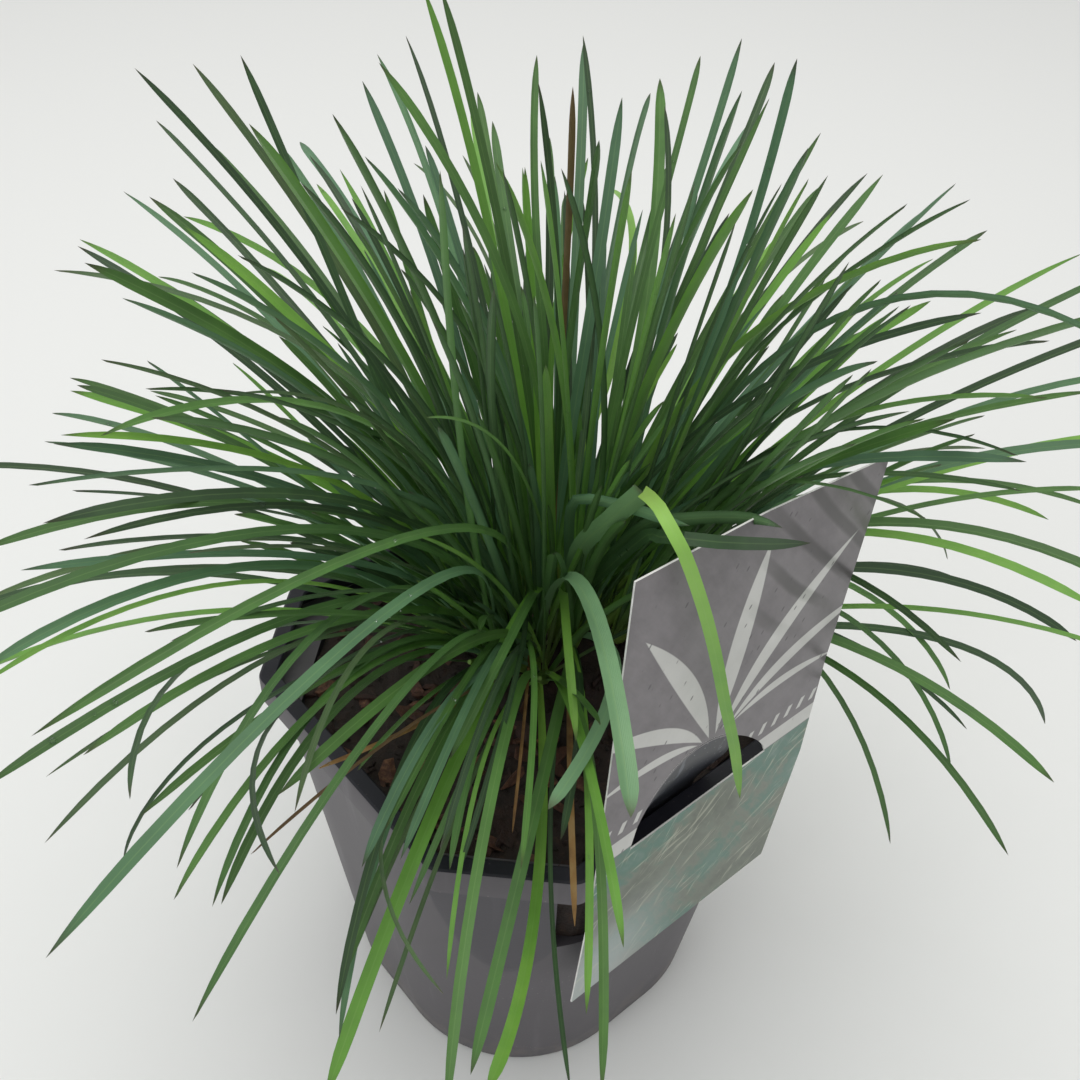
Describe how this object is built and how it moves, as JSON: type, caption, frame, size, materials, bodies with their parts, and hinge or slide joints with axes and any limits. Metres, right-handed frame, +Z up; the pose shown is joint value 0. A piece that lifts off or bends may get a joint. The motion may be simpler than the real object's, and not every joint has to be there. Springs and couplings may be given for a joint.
{
  "type": "potted ornamental grass",
  "caption": "Tuft of narrow arching grass blades growing in soil in a plastic nursery pot with a hang label hooked on its rim.",
  "frame": {"origin": "middle of the pot's flat underside", "axes": "+Z up, -Y towards the pot's front corner, the one with the slot; the label stands on the side between -Y and +X"},
  "size_m": [0.4912, 0.4768, 0.37],
  "materials": {
    "pot": "satin injection-moulded dark grey plastic, lightly scuffed and dusty",
    "soil": "damp dark peat with reddish-brown bark chips",
    "label": null,
    "leaf": "satin fresh leaf, finely ribbed along its length",
    "dry_leaf": "dry yellow-brown leaf",
    "bark": "broken bark chip",
    "water": "clear water drops"
  },
  "bodies": {
    "root": {"pot": "pot", "soil": "soil", "label": "label", "shoot_01": "leaf", "shoot_02": "leaf", "shoot_03": "leaf", "shoot_04": "leaf", "shoot_05": "leaf", "shoot_06": "leaf", "shoot_07": "leaf", "shoot_08": "leaf", "shoot_09": "leaf", "shoot_10": "leaf", "shoot_11": "leaf", "shoot_12": "leaf", "shoot_13": "leaf", "shoot_14": "leaf", "shoot_15": "leaf", "shoot_16": "leaf", "shoot_17": "leaf", "shoot_18": "leaf", "shoot_19": "leaf", "shoot_20": "leaf", "shoot_21": "leaf", "shoot_22": "leaf", "shoot_23": "leaf", "shoot_24": "leaf", "shoot_25": "leaf", "shoot_26": "leaf", "shoot_27": "leaf", "shoot_28": "leaf", "shoot_29": "leaf", "shoot_30": "leaf", "shoot_31": "leaf", "shoot_32": "leaf", "shoot_33": "leaf", "shoot_34": "leaf", "shoot_35": "leaf", "shoot_36": "leaf", "shoot_37": "leaf", "shoot_38": "leaf", "shoot_39": "leaf", "shoot_40": "leaf", "shoot_41": "leaf", "shoot_42": "leaf", "shoot_43": "leaf", "shoot_44": "leaf", "shoot_45": "leaf"}
  },
  "joints": []
}
